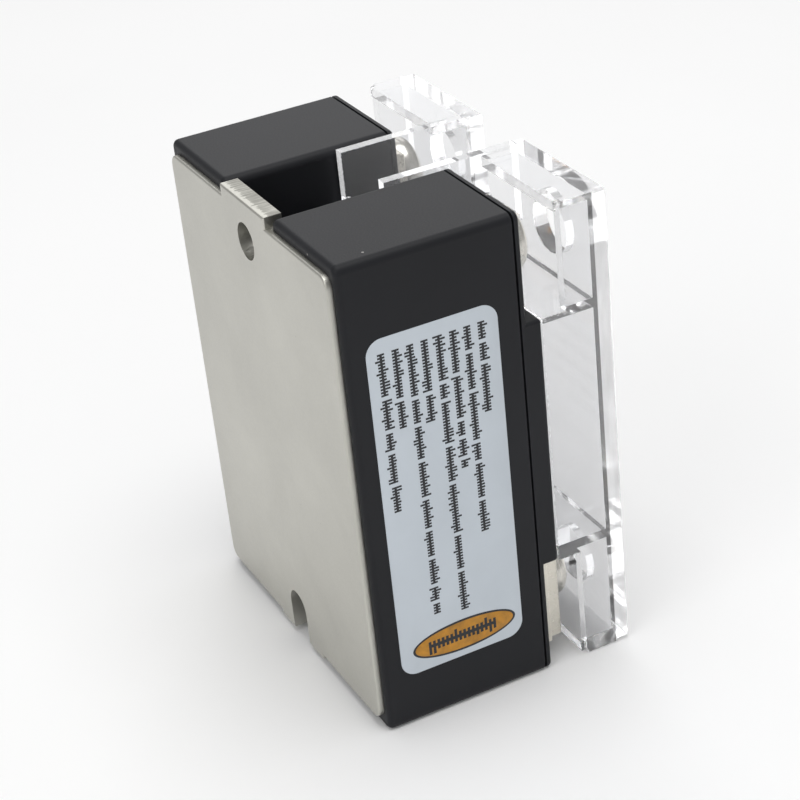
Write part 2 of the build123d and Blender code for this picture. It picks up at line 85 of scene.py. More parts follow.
def power(name, description, default):
    """A lamp's power in watts."""
    return FloatProperty(name=name, description=description, default=default, min=0.0, unit="POWER")


class RelayFinish(bpy.types.PropertyGroup):
    """Colours of the relay's finishes"""
    case: colour("Case", "Moulded case and terminal deck", (0.0125, 0.0131, 0.0158))
    plate: colour("Base plate", "Nickel-plated base plate", (0.53, 0.522, 0.478))
    contact: colour("Contacts", "Contact strips and clamp plates", (0.66, 0.63, 0.56))
    screw: colour("Screws", "Terminal screws, nuts and spring washers", (0.70, 0.68, 0.63))
    cover: colour("Cover", "Tint of the clear cover", (0.953, 0.955, 0.963))
    film: colour("Side label", "Film of the side label", (0.60, 0.655, 0.71))
    ink: colour("Ink", "Printed strokes on the labels", (0.012, 0.013, 0.016))
    badge: colour("Badge", "Oval badge on the side label", (0.45, 0.20, 0.011))
    front_film: colour("Front label", "Film of the front label", (0.66, 0.67, 0.68))
    board: colour("Board", "Solder mask of the control board", (0.02, 0.16, 0.06))
    lamp: colour("Indicator", "LED and light pipe", (0.75, 0.05, 0.03))


class RelayDetail(bpy.types.PropertyGroup):
    """Sizes of the fine pieces"""
    head_height: length("Head height", "Height of the screw heads", 3.0)
    thread_pitch: length("Thread pitch", "Pitch of the terminal screws", 0.7)
    recess_span: length("Recess span", "Width of the cross recess", 4.4)
    recess_depth: length("Recess depth", "Depth of the cross recess", 1.7)
    letter_height: length("Print height", "Height of a short printed stroke", 0.86)
    line_pitch: length("Line pitch", "Distance between printed lines", 1.74)
    film_proud: length("Film height", "How far a label stands off its recess", 0.06)
    print_seed: IntProperty(name="Print seed", description="Seed of the printed strokes", default=11, min=0)


class RelayStudio(bpy.types.PropertyGroup):
    """Camera and lights"""
    azimuth: angle("Azimuth", "Camera's turn about the relay", 245.80)
    elevation: angle("Elevation", "Camera's height angle", 29.23)
    roll: angle("Roll", "Camera's roll", -6.29)
    distance: length("Distance", "Camera to its aim", 252.8)
    lens: FloatProperty(name="Lens", description="Focal length in millimetres", default=95.1, min=10.0)
    aim: FloatVectorProperty(name="Aim", description="Point in the middle of the view", size=3,
                             default=(-0.0019, 0.00125, 0.03006), subtype="TRANSLATION", unit="LENGTH")
    shift: FloatProperty(name="Shift", description="Sideways shift of the view", default=0.0032)
    world: FloatProperty(name="Room light", description="Strength of the even room light",
                         default=0.49, min=0.0)
    key: power("Key light", "Power of the light over the base plate side", 0.9)
    top: power("Top light", "Power of the light above", 2.7)
    back: power("Back light", "Power of the light behind the cover", 1.7)


# ---- mesh helpers ----------------------------------------------------------------------------
def link(name, mesh):
    """An object of the mesh, linked to the scene."""
    piece = bpy.data.objects.new(name, mesh)
    bpy.context.scene.collection.objects.link(piece)
    return piece


def mesh_from(name, points, faces, sharp_degrees=35.0):
    """A mesh of the given points and faces, doubles merged, normals outwards, sharp only at hard corners."""
    mesh = bpy.data.meshes.new(name)
    mesh.from_pydata(np.asarray(points, float).reshape(-1, 3).tolist(), [], faces)
    work = bmesh.new()
    work.from_mesh(mesh)
    bmesh.ops.remove_doubles(work, verts=work.verts, dist=1e-7)
    bmesh.ops.dissolve_degenerate(work, edges=work.edges, dist=1e-8)
    bmesh.ops.recalc_face_normals(work, faces=work.faces)
    work.to_mesh(mesh)
    work.free()
    mesh.shade_smooth()
    mesh.set_sharp_from_angle(angle=math.radians(sharp_degrees))
    return mesh


def grid_faces(rows, columns, start=0):
    """Quads between neighbouring rows of points, each row closed round."""
    i, j = np.meshgrid(np.arange(rows - 1), np.arange(columns), indexing="ij")
    j2 = (j + 1) % columns
    below = i * columns
    above = below + columns
    quads = np.stack([below + j, below + j2, above + j2, above + j], -1)
    return (quads.reshape(-1, 4) + start).tolist()


def rounded_outline(width, height, radius, per_corner=8):
    """Points round a rectangle with round corners, as four quarter circles, anticlockwise."""
    turn = np.linspace(0, math.pi / 2, per_corner)
    arcs = []
    for quarter, (sx, sy) in enumerate(((1, 1), (-1, 1), (-1, -1), (1, -1))):
        angle = turn + quarter * math.pi / 2
        centre = np.array([sx * (width / 2 - radius), sy * (height / 2 - radius)])
        arcs.append(centre + radius * np.stack([np.cos(angle), np.sin(angle)], -1))
    return np.concatenate(arcs)


def ellipse_outline(half_width, half_height, count=72):
    """Points at equal angles round an ellipse."""
    angle = np.linspace(0, 2 * math.pi, count, endpoint=False)
    return np.stack([half_width * np.cos(angle), half_height * np.sin(angle)], -1)


def pad_loops(outline, thickness, edge):
    """Loops of a flat pad in U, V and height: the outline shrunk to its middle below, round the
    edge by a quarter circle, and shrunk to its middle again above."""
    turn = np.linspace(0, math.pi / 2, 4)
    reach = np.abs(outline).max()
    middle = outline.mean(0)
    loops = []
    for share in (0.0, 0.5, 1.0):
        loops.append(np.column_stack([middle + share * (outline - middle), np.zeros(len(outline))]))
    for angle in turn:
        share = 1 - edge * (1 - math.cos(angle)) / reach
        height = np.full(len(outline), thickness - edge + edge * math.sin(angle))
        loops.append(np.column_stack([middle + share * (outline - middle), height]))
    for share in (0.5, 0.0):
        loops.append(np.column_stack([middle + share * (outline - middle), np.full(len(outline), thickness)]))
    return np.stack(loops)


def placed(local, origin, u_axis, v_axis, out_axis):
    """Points in U, V and height, carried to the row frame."""
    axes = np.array([u_axis, v_axis, out_axis], float)
    return np.asarray(origin, float) + local @ axes


def revolved(radius, height, angles):
    """Rings of the given radii and heights about an axis, as U, V and height."""
    return np.stack([radius * np.cos(angles), radius * np.sin(angles), height], -1)


def smooth_step(low, high, value):
    """0 below low, 1 above high, and a smooth cubic between."""
    share = np.clip((value - low) / (high - low), 0, 1)
    return share * share * (3 - 2 * share)


# ---- node helpers ----------------------------------------------------------------------------
def add(tree, kind, inputs=None, **settings):
    """A node with its settings, its inputs set to values or linked to sockets."""
    node = tree.nodes.new(kind)
    for key, value in settings.items():
        setattr(node, key, value)
    for key, value in (inputs or {}).items():
        if isinstance(value, bpy.types.NodeSocket):
            tree.links.new(value, node.inputs[key])
        else:
            node.inputs[key].default_value = value
    return node


def maths(tree, operation, first, second=0.5, clamp=False):
    """The output of a math node."""
    return add(tree, "ShaderNodeMath", {0: first, 1: second}, operation=operation, use_clamp=clamp).outputs[0]


def blend_colours(tree, share, first, second):
    """The output of a mix node: the first colour where the share is 0 and the second where it is 1."""
    node = add(tree, "ShaderNodeMix", data_type="RGBA")
    for key, value in ((0, share), (6, first), (7, second)):
        if isinstance(value, bpy.types.NodeSocket):
            tree.links.new(value, node.inputs[key])
        elif key == 0:
            node.inputs[key].default_value = value
        else:
            node.inputs[key].default_value = (*value, 1.0)
    return node.outputs[2]


def remap(tree, value, from_low, from_high, to_low, to_high):
    """The output of a map range node, held within the new range."""
    return add(tree, "ShaderNodeMapRange", {"Value": value, "From Min": from_low, "From Max": from_high,
                                            "To Min": to_low, "To Max": to_high}).outputs[0]


def shade(tint, factor, lift=0.0):
    """A colour made darker or paler, and raised evenly by the lift."""
    return tuple(min(1.0, factor * channel + lift) for channel in tint)


def new_group(name, inputs, outputs):
    """An empty node group, with its given and output sockets: an input without a default is a vector."""
    group = bpy.data.node_groups.new(name, "ShaderNodeTree")
    for key, default in inputs.items():
        kind = "NodeSocketVector" if default is None else "NodeSocketFloat"
        socket = group.interface.new_socket(name=key, in_out="INPUT", socket_type=kind)
        if default is not None:
            socket.default_value = default
    for key in outputs:
        group.interface.new_socket(name=key, in_out="OUTPUT", socket_type="NodeSocketFloat")
    return group, group.nodes.new("NodeGroupInput").outputs, group.nodes.new("NodeGroupOutput").inputs


def grain_group():
    """Fine moulded or rolled grain: two noises, the finer one four times as fine."""
    group, given, out = new_group("Relay grain", {"Vector": None, "Scale": 5000.0}, ("Height",))
    coarse = add(group, "ShaderNodeTexNoise", {"Vector": given["Vector"], "Scale": given["Scale"],
                                              "Detail": 3.0, "Roughness": 0.6})
    fine_scale = maths(group, "MULTIPLY", given["Scale"], 4.0)
    fine = add(group, "ShaderNodeTexNoise", {"Vector": given["Vector"], "Scale": fine_scale, "Detail": 1.0})
    half = maths(group, "MULTIPLY", fine.outputs[0], 0.5)
    group.links.new(maths(group, "ADD", coarse.outputs[0], half), out["Height"])
    return group


def cloud_group():
    """Slow change of tone over a surface, from 0 to 1 about a middle of one half."""
    group, given, out = new_group("Relay clouds", {"Vector": None, "Scale": 60.0}, ("Value",))
    noise = add(group, "ShaderNodeTexNoise", {"Vector": given["Vector"], "Scale": given["Scale"],
                                             "Detail": 4.0, "Roughness": 0.55, "Distortion": 0.3})
    group.links.new(remap(group, noise.outputs[0], 0.3, 0.7, 0.0, 1.0), out["Value"])
    return group


def edge_group():
    """Mask of edges, for wear, scuffs and painted edge highlights: how far a rounded normal leans from the
    true one, broken up by noise.
    """
    group, given, out = new_group("Relay edges", {"Vector": None, "Radius": 0.0004, "Break": 900.0},
                                  ("Mask",))
    rounded = add(group, "ShaderNodeBevel", {"Radius": given["Radius"]}, samples=6)
    true = add(group, "ShaderNodeNewGeometry")
    lean = add(group, "ShaderNodeVectorMath", {0: rounded.outputs[0], 1: true.outputs["Normal"]},
               operation="DOT_PRODUCT").outputs["Value"]
    edge = remap(group, lean, 0.995, 0.85, 0.0, 1.0)
    noise = add(group, "ShaderNodeTexNoise", {"Vector": given["Vector"], "Scale": given["Break"],
                                             "Detail": 3.0})
    patchy = remap(group, noise.outputs[0], 0.35, 0.65, 0.25, 1.0)
    group.links.new(maths(group, "MULTIPLY", edge, patchy, clamp=True), out["Mask"])
    return group


def speck_group():
    """Sparse specks: small balls round the random points of some of a Voronoi texture's cells."""
    group, given, out = new_group("Relay specks", {"Vector": None, "Scale": 260.0, "Size": 0.05,
                                                   "Share": 0.4}, ("Mask",))
    cells = add(group, "ShaderNodeTexVoronoi", {"Vector": given["Vector"], "Scale": given["Scale"],
                                               "Randomness": 1.0})
    tone = add(group, "ShaderNodeSeparateColor", {0: cells.outputs["Color"]})
    chosen = maths(group, "LESS_THAN", tone.outputs[0], given["Share"])
    size = maths(group, "MULTIPLY", given["Size"], tone.outputs[1])
    near = maths(group, "LESS_THAN", cells.outputs["Distance"], size)
    group.links.new(maths(group, "MULTIPLY", near, chosen), out["Mask"])
    return group


def shear_group():
    """Torn part of a sheared edge, on faces that look along Z: past a ragged line across the sheet's
    thickness, broken into streaks that run through the sheet."""
    group, given, out = new_group("Relay shear", {"Vector": None, "Facing": None, "Line": 0.0155}, ("Mask",))
    facing = add(group, "ShaderNodeSeparateXYZ", {0: given["Facing"]})
    upright = maths(group, "GREATER_THAN", maths(group, "ABSOLUTE", facing.outputs[2]), 0.7)
    place = add(group, "ShaderNodeSeparateXYZ", {0: given["Vector"]})
    stretched = add(group, "ShaderNodeVectorMath", {0: given["Vector"], 1: (1.0, 0.12, 1.0)},
                    operation="MULTIPLY")
    ragged = add(group, "ShaderNodeTexNoise", {"Vector": stretched.outputs[0], "Scale": 2600.0,
                                              "Detail": 3.0})
    line = maths(group, "ADD", given["Line"], remap(group, ragged.outputs[0], 0.3, 0.7, -0.0005, 0.0005))
    torn = maths(group, "LESS_THAN", place.outputs[1], line)
    streaked = maths(group, "MULTIPLY", torn, remap(group, ragged.outputs[0], 0.35, 0.65, 0.35, 1.0))
    group.links.new(maths(group, "MULTIPLY", streaked, upright), out["Mask"])
    return group


def painted_edge_glow_group():
    """Mask of a painted glow on the narrow ends of clear walls, which stands in for the light they gather, a
    little uneven: faces that look along X, in front of the first line across the wall, and faces that don't,
    behind the second line."""
    group, given, out = new_group("Relay painted edge glow", {"Vector": None, "Facing": None, "Line": 0.0,
                                                      "Legs": 0.0}, ("Mask",))
    facing = add(group, "ShaderNodeSeparateXYZ", {0: given["Facing"]})
    sideways = maths(group, "GREATER_THAN", maths(group, "ABSOLUTE", facing.outputs[0]), 0.9)
    place = add(group, "ShaderNodeSeparateXYZ", {0: given["Vector"]})
    in_front = maths(group, "LESS_THAN", place.outputs[1], given["Line"])
    behind = maths(group, "GREATER_THAN", place.outputs[1], given["Legs"])
    front_ends = maths(group, "MULTIPLY", sideways, in_front)
    leg_ends = maths(group, "MULTIPLY", maths(group, "SUBTRACT", 1.0, sideways), behind)
    streaks = add(group, "ShaderNodeVectorMath", {0: given["Vector"], 1: (1.0, 6.0, 1.0)},
                  operation="MULTIPLY")
    noise = add(group, "ShaderNodeTexNoise", {"Vector": streaks.outputs[0], "Scale": 160.0, "Detail": 2.0})
    uneven = remap(group, noise.outputs[0], 0.3, 0.7, 0.75, 1.0)
    both = maths(group, "ADD", front_ends, leg_ends, clamp=True)
    group.links.new(maths(group, "MULTIPLY", both, uneven), out["Mask"])
    return group


GROUPS = {"grain": grain_group, "clouds": cloud_group, "edges": edge_group, "specks": speck_group,
          "shear": shear_group, "painted edge glow": painted_edge_glow_group}


def effect(tree, name, **values):
    """Places one of the shared effects, built the first time it is asked for, and gives its output."""
    group = bpy.data.node_groups.get("Relay " + name) or GROUPS[name]()
    node = add(tree, "ShaderNodeGroup", node_tree=group)
    coordinates = tree.nodes.get("Place") or add(tree, "ShaderNodeTexCoord", name="Place")
    tree.links.new(coordinates.outputs["Object"], node.inputs["Vector"])
    if "Facing" in node.inputs:
        tree.links.new(coordinates.outputs["Normal"], node.inputs["Facing"])
    for key, value in values.items():
        node.inputs[key].default_value = value
    return node.outputs[0]


def new_material(name, **shader):
    """A material with one Principled shader, whose plain numbers are set on its own sockets."""
    material = bpy.data.materials.new(name)
    material.use_nodes = True
    tree = material.node_tree
    principled = tree.nodes["Principled BSDF"]
    for key, value in shader.items():
        principled.inputs[key.replace("_", " ")].default_value = value
    return material, tree, principled


def bump(tree, principled, height, distance, strength):
    """Raises the surface by the height, over the distance."""
    node = add(tree, "ShaderNodeBump", {"Height": height, "Distance": distance, "Strength": strength})
    tree.links.new(node.outputs[0], principled.inputs["Normal"])


# ---- materials -------------------------------------------------------------------------------
def moulded_plastic(name, tint):
    """Matt grained moulding, paler on its edges, partly from wear and partly as a painted highlight, with
    sparse dust.
    """
    material, tree, shader = new_material(name, IOR=1.5, Specular_IOR_Level=0.22)
    clouds = effect(tree, "clouds", Scale=45.0)
    edges = effect(tree, "edges", Radius=0.00035)
    dust_mask = effect(tree, "specks", Scale=230.0, Size=0.085, Share=0.35)
    base = blend_colours(tree, clouds, shade(tint, 0.86), shade(tint, 1.14))
    # Paler edges: partly wear, partly a painted highlight where the rounded edges catch the light.
    wear_and_highlight = blend_colours(tree, maths(tree, "MULTIPLY", edges, 0.55), base, shade(tint, 2.3, 0.004))
    dusty = blend_colours(tree, maths(tree, "MULTIPLY", dust_mask, 0.8), wear_and_highlight, (0.42, 0.41, 0.39))
    tree.links.new(dusty, shader.inputs["Base Color"])
    grain = effect(tree, "grain", Scale=5200.0)
    tree.links.new(remap(tree, grain, 0.45, 1.05, 0.42, 0.56), shader.inputs["Roughness"])
    bump(tree, shader, grain, 0.000008, 0.3)
    return material


def plated_metal(name, tint, roughness, grain_scale=3000.0, torn_below=None):
    """Satin nickel plate: soft clouds of tone, small dark pits, brighter rubbed edges, and torn ends below
    a line across the sheet where one is given."""
    material, tree, shader = new_material(name, Metallic=1.0)
    clouds = effect(tree, "clouds", Scale=70.0)
    edges = effect(tree, "edges", Radius=0.00025)
    pits = effect(tree, "specks", Scale=520.0, Size=0.05, Share=0.35)
    base = blend_colours(tree, clouds, shade(tint, 0.93), shade(tint, 1.05))
    rubbed = blend_colours(tree, maths(tree, "MULTIPLY", edges, 0.6), base, shade(tint, 1.3))
    pitted = blend_colours(tree, maths(tree, "MULTIPLY", pits, 0.5), rubbed, shade(tint, 0.45))
    grain = effect(tree, "grain", Scale=grain_scale)
    gloss = remap(tree, grain, 0.45, 1.05, *roughness)
    height = grain
    if torn_below is not None:
        torn = effect(tree, "shear", Line=torn_below)
        pitted = blend_colours(tree, maths(tree, "MULTIPLY", torn, 0.6), pitted, shade(tint, 0.42))
        gloss = maths(tree, "ADD", gloss, maths(tree, "MULTIPLY", torn, 0.25), clamp=True)
        height = maths(tree, "SUBTRACT", grain, maths(tree, "MULTIPLY", torn, 6.0))
    tree.links.new(pitted, shader.inputs["Base Color"])
    tree.links.new(gloss, shader.inputs["Roughness"])
    bump(tree, shader, height, 0.000006, 0.5)
    return material


def clear_plastic(name, tint, front_line, leg_line, glow):
    """Polished clear moulding with faint flow ripples and scuffed edges. The front wall, up to one line
    across it, and the legs, past another, get a painted glow at their narrow ends: emission that stands in
    for light piped along the walls."""
    material, tree, shader = new_material(name, IOR=1.2, Transmission_Weight=0.92)
    clouds = effect(tree, "clouds", Scale=30.0)
    tree.links.new(blend_colours(tree, clouds, shade(tint, 0.985), tint), shader.inputs["Base Color"])
    scuffs = effect(tree, "edges", Radius=0.0003, Break=2500.0)
    tree.links.new(remap(tree, scuffs, 0.0, 1.0, 0.02, 0.4), shader.inputs["Roughness"])
    # Painted glow: emission on the narrow ends of the front wall and legs, in place of light piped along the
    # clear walls.
    ends = effect(tree, "painted edge glow", Line=front_line, Legs=leg_line)
    tree.links.new(blend_colours(tree, ends, (0.0, 0.0, 0.0), shade(tint, glow)),
                   shader.inputs["Emission Color"])
    shader.inputs["Emission Strength"].default_value = 1.0
    ripples = effect(tree, "clouds", Scale=160.0)
    bump(tree, shader, ripples, 0.000004, 0.4)
    return material


def printed_film(name, tint):
    """Satin label film with fine grain, specks and a slow change of tone."""
    material, tree, shader = new_material(name, IOR=1.46, Coat_Roughness=0.25)
    clouds = effect(tree, "clouds", Scale=110.0)
    specks = effect(tree, "specks", Scale=420.0, Size=0.05, Share=0.5)
    base = blend_colours(tree, clouds, shade(tint, 0.96), shade(tint, 1.03))
    tree.links.new(blend_colours(tree, maths(tree, "MULTIPLY", specks, 0.35), base, shade(tint, 0.6)),
                   shader.inputs["Base Color"])
    grain = effect(tree, "grain", Scale=4200.0)
    tree.links.new(remap(tree, grain, 0.4, 1.1, 0.30, 0.48), shader.inputs["Roughness"])
    bump(tree, shader, grain, 0.000005, 0.4)
    return material


def ink(name, tint):
    """Printed ink, slightly uneven in tone and gloss."""
    material, tree, shader = new_material(name, IOR=1.5)
    clouds = effect(tree, "clouds", Scale=900.0)
    tree.links.new(blend_colours(tree, clouds, shade(tint, 0.8), shade(tint, 1.35)),
                   shader.inputs["Base Color"])
    tree.links.new(remap(tree, clouds, 0.0, 1.0, 0.38, 0.52), shader.inputs["Roughness"])
    return material


def lamp_plastic(name, tint):
    """Tinted clear resin with a slight haze."""
    material, tree, shader = new_material(name, IOR=1.52, Transmission_Weight=0.85)
    clouds = effect(tree, "clouds", Scale=400.0)
    tree.links.new(blend_colours(tree, clouds, shade(tint, 0.85), tint), shader.inputs["Base Color"])
    tree.links.new(remap(tree, clouds, 0.0, 1.0, 0.08, 0.2), shader.inputs["Roughness"])
    return material


def fired_ceramic(name, tint):
    """Dense unglazed ceramic or cast resin: fine pores and grain."""
    material, tree, shader = new_material(name, IOR=1.6)
    clouds = effect(tree, "clouds", Scale=200.0)
    pores = effect(tree, "specks", Scale=900.0, Size=0.12, Share=0.5)
    base = blend_colours(tree, clouds, shade(tint, 0.9), shade(tint, 1.06))
    tree.links.new(blend_colours(tree, maths(tree, "MULTIPLY", pores, 0.4), base, shade(tint, 0.55)),
                   shader.inputs["Base Color"])
    grain = effect(tree, "grain", Scale=7000.0)
    tree.links.new(remap(tree, grain, 0.45, 1.05, 0.4, 0.6), shader.inputs["Roughness"])
    bump(tree, shader, grain, 0.00001, 0.4)
    return material


def circuit_board(name, tint):
    """Solder mask with a faint weave in its gloss, and paler copper tracks showing through."""
    material, tree, shader = new_material(name, IOR=1.55, Coat_Roughness=0.2)
    clouds = effect(tree, "clouds", Scale=150.0)
    place = tree.nodes["Place"].outputs["Object"]
    tracks = add(tree, "ShaderNodeTexBrick", {"Vector": place, "Scale": 160.0, "Mortar Size": 0.06})
    weave = add(tree, "ShaderNodeTexChecker", {"Vector": place, "Scale": 2400.0})
    base = blend_colours(tree, clouds, shade(tint, 0.85), shade(tint, 1.15))
    traced = blend_colours(tree, maths(tree, "MULTIPLY", tracks.outputs["Fac"], 0.6), base,
                           shade(tint, 1.9))
    tree.links.new(traced, shader.inputs["Base Color"])
    tree.links.new(remap(tree, weave.outputs["Fac"], 0.0, 1.0, 0.22, 0.3), shader.inputs["Roughness"])
    bump(tree, shader, tracks.outputs["Fac"], 0.00003, 0.5)
    return material


MADE = {}


def material_for(key):
    """Each finish, made once from the chosen colours."""
    if key in MADE:
        return MADE[key]
    finish = bpy.context.scene.relay_finish
    makers = {
        "case": lambda: moulded_plastic("case plastic", finish.case),
        "plate": lambda: plated_metal("plate nickel", finish.plate, roughness=(0.34, 0.46),
                                      torn_below=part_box("base_plate")[1].y - 0.8 * MM),
        "contact": lambda: plated_metal("contact nickel", finish.contact, roughness=(0.24, 0.36)),
        "screw": lambda: plated_metal("screw nickel", finish.screw, roughness=(0.18, 0.30),
                                      grain_scale=5000.0),
        # The cover's last number is the strength of its painted end glow.
        "cover": lambda: clear_plastic("cover clear", finish.cover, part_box("clear_cover")[0].y + 1.8 * MM,
                                       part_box("front_label")[1].y + 0.3 * MM, 0.55),
        "film": lambda: printed_film("side label film", finish.film),
        "front film": lambda: printed_film("front label film", finish.front_film),
        "ink": lambda: ink("label ink", finish.ink),
        "badge": lambda: ink("badge ink", finish.badge),
        "lamp": lambda: lamp_plastic("indicator resin", finish.lamp),
        "ceramic": lambda: fired_ceramic("substrate ceramic", (0.82, 0.81, 0.77)),
        "potting": lambda: fired_ceramic("potting resin", (0.03, 0.03, 0.034)),
        "component": lambda: fired_ceramic("component resin", (0.02, 0.02, 0.022)),
        "capacitor": lambda: fired_ceramic("capacitor dip", (0.50, 0.20, 0.03)),
        "resistor": lambda: fired_ceramic("resistor lacquer", (0.55, 0.42, 0.25)),
        "copper": lambda: plated_metal("pad copper", (0.74, 0.36, 0.22), roughness=(0.28, 0.42)),
        "silicon": lambda: plated_metal("chip metal", (0.42, 0.43, 0.47), roughness=(0.15, 0.25)),
        "board": lambda: circuit_board("board mask", finish.board),
    }
    MADE[key] = makers[key]()
    return MADE[key]


def paint(node, key):
    """Gives a CAD node its finish."""
    mesh = frame["nodes"][node].data
    mesh.materials.clear()
    mesh.materials.append(material_for(key))


def fit_piece(piece, key, body, slot, *nodes):
    """Gives a new piece its finish and its body, and hides the CAD nodes that it stands for. The slot is not
    used.
    """
    piece.data.materials.append(material_for(key))
    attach(piece, body)
    if nodes:
        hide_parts(*nodes)


# ---- the stage -------------------------------------------------------------------------------
def point_at(lamp, target):
    """Turns a light in its place so that it shines on the target."""
    lamp.rotation_euler = (Vector(target) - lamp.location).to_track_quat("-Z", "Y").to_euler()


def area_light(name, place, size, energy, target):
    """A round soft light."""
    data = bpy.data.lights.new(name, "AREA")
    data.shape = "DISK"
    data.size = size
    data.energy = energy
    lamp = bpy.data.objects.new(name, data)
    bpy.context.scene.collection.objects.link(lamp)
    lamp.location = place
    point_at(lamp, target)


class RELAY_OT_stage(bpy.types.Operator):
    """Sets the pale floor, the soft lights and the camera"""
    bl_idname = "relay.stage"
    bl_label = "Stage"

    def execute(self, context):
        studio = context.scene.relay_studio
        half = 3.0          # the floor reaches past every view
        corners = [(-half, -half, 0), (half, -half, 0), (half, half, 0), (-half, half, 0)]
        mesh = bpy.data.meshes.new("floor")
        mesh.from_pydata(corners, [], [(0, 1, 2, 3)])
        floor = link("floor", mesh)
        material, tree, shader = new_material("floor paper", Roughness=0.9)
        clouds = effect(tree, "clouds", Scale=6.0)
        tree.links.new(blend_colours(tree, clouds, (0.93, 0.93, 0.93), (0.95, 0.95, 0.95)),
                       shader.inputs["Base Color"])
        mesh.materials.append(material)

        world = bpy.data.worlds.new("studio")
        world.use_nodes = True
        background = world.node_tree.nodes["Background"]
        background.inputs["Color"].default_value = (1.0, 1.0, 1.0, 1.0)
        background.inputs["Strength"].default_value = studio.world
        context.scene.world = world
        context.scene.view_settings.view_transform = "Standard"
        light_paths = context.scene.cycles      # the clear cover pipes light along its walls
        light_paths.max_bounces = 24
        light_paths.glossy_bounces = 16
        light_paths.transmission_bounces = 24

        middle = (0.0, 0.0, 0.03)
        area_light("key", (-0.25, 0.55, 0.45), 0.5, studio.key, middle)
        area_light("top", (-0.05, -0.05, 0.75), 0.6, studio.top, middle)
        area_light("back", (0.85, -0.38, 0.58), 0.75, studio.back, middle)

        camera = bpy.data.objects.new("camera", bpy.data.cameras.new("camera"))
        context.scene.collection.objects.link(camera)
        a, e, r = studio.azimuth, studio.elevation, studio.roll
        back = Vector((math.sin(a) * math.cos(e), -math.cos(a) * math.cos(e), math.sin(e)))
        level = Vector((math.cos(a), math.sin(a), 0.0))
        upright = back.cross(level)
        right = math.cos(r) * level + math.sin(r) * upright
        up = -math.sin(r) * level + math.cos(r) * upright
        place = Vector(studio.aim) + studio.distance * back
        camera.matrix_world = Matrix((
            (right.x, up.x, back.x, place.x),
            (right.y, up.y, back.y, place.y),
            (right.z, up.z, back.z, place.z),
            (0.0, 0.0, 0.0, 1.0),
        ))
        camera.data.lens = studio.lens
        camera.data.shift_x = studio.shift
        camera.data.clip_start = 0.01
        context.scene.camera = camera
        return {"FINISHED"}


# ---- pieces ----------------------------------------------------------------------------------
class RELAY_OT_mouldings(bpy.types.Operator):
    """Finishes the case, the terminal deck and the clear cover"""
    bl_idname = "relay.mouldings"
    bl_label = "Mouldings"

    def execute(self, context):
        for node in ("housing_case", "terminal_deck"):
            paint(node, "case")
        paint("clear_cover", "cover")
        return {"FINISHED"}


class RELAY_OT_plate(bpy.types.Operator):
    """Finishes the base plate"""
    bl_idname = "relay.plate"
    bl_label = "Base plate"

    def execute(self, context):
        paint("base_plate", "plate")
        return {"FINISHED"}


class RELAY_OT_inside(bpy.types.Operator):
    """Finishes the parts inside the case"""
    bl_idname = "relay.inside"
    bl_label = "Inside"

    def execute(self, context):
        finishes = {
            "ceramic_substrate": "ceramic", "copper_pads": "copper", "thyristor_a": "silicon",
            "thyristor_b": "silicon", "gate_pins": "contact", "control_board": "board",
            "optocoupler": "component", "snubber_capacitor": "capacitor", "snubber_resistor": "resistor",
            "input_resistors": "component", "drive_transistor": "component", "indicator_led": "lamp",
            "light_pipe": "lamp", "potting_compound": "potting",
        }
        for node, key in finishes.items():
            paint(node, key)
        for name in TERMINALS:
            paint(name + "_nut", "screw")
            paint(name + "_strip", "contact")
            paint(name + "_clamp", "contact")
        return {"FINISHED"}


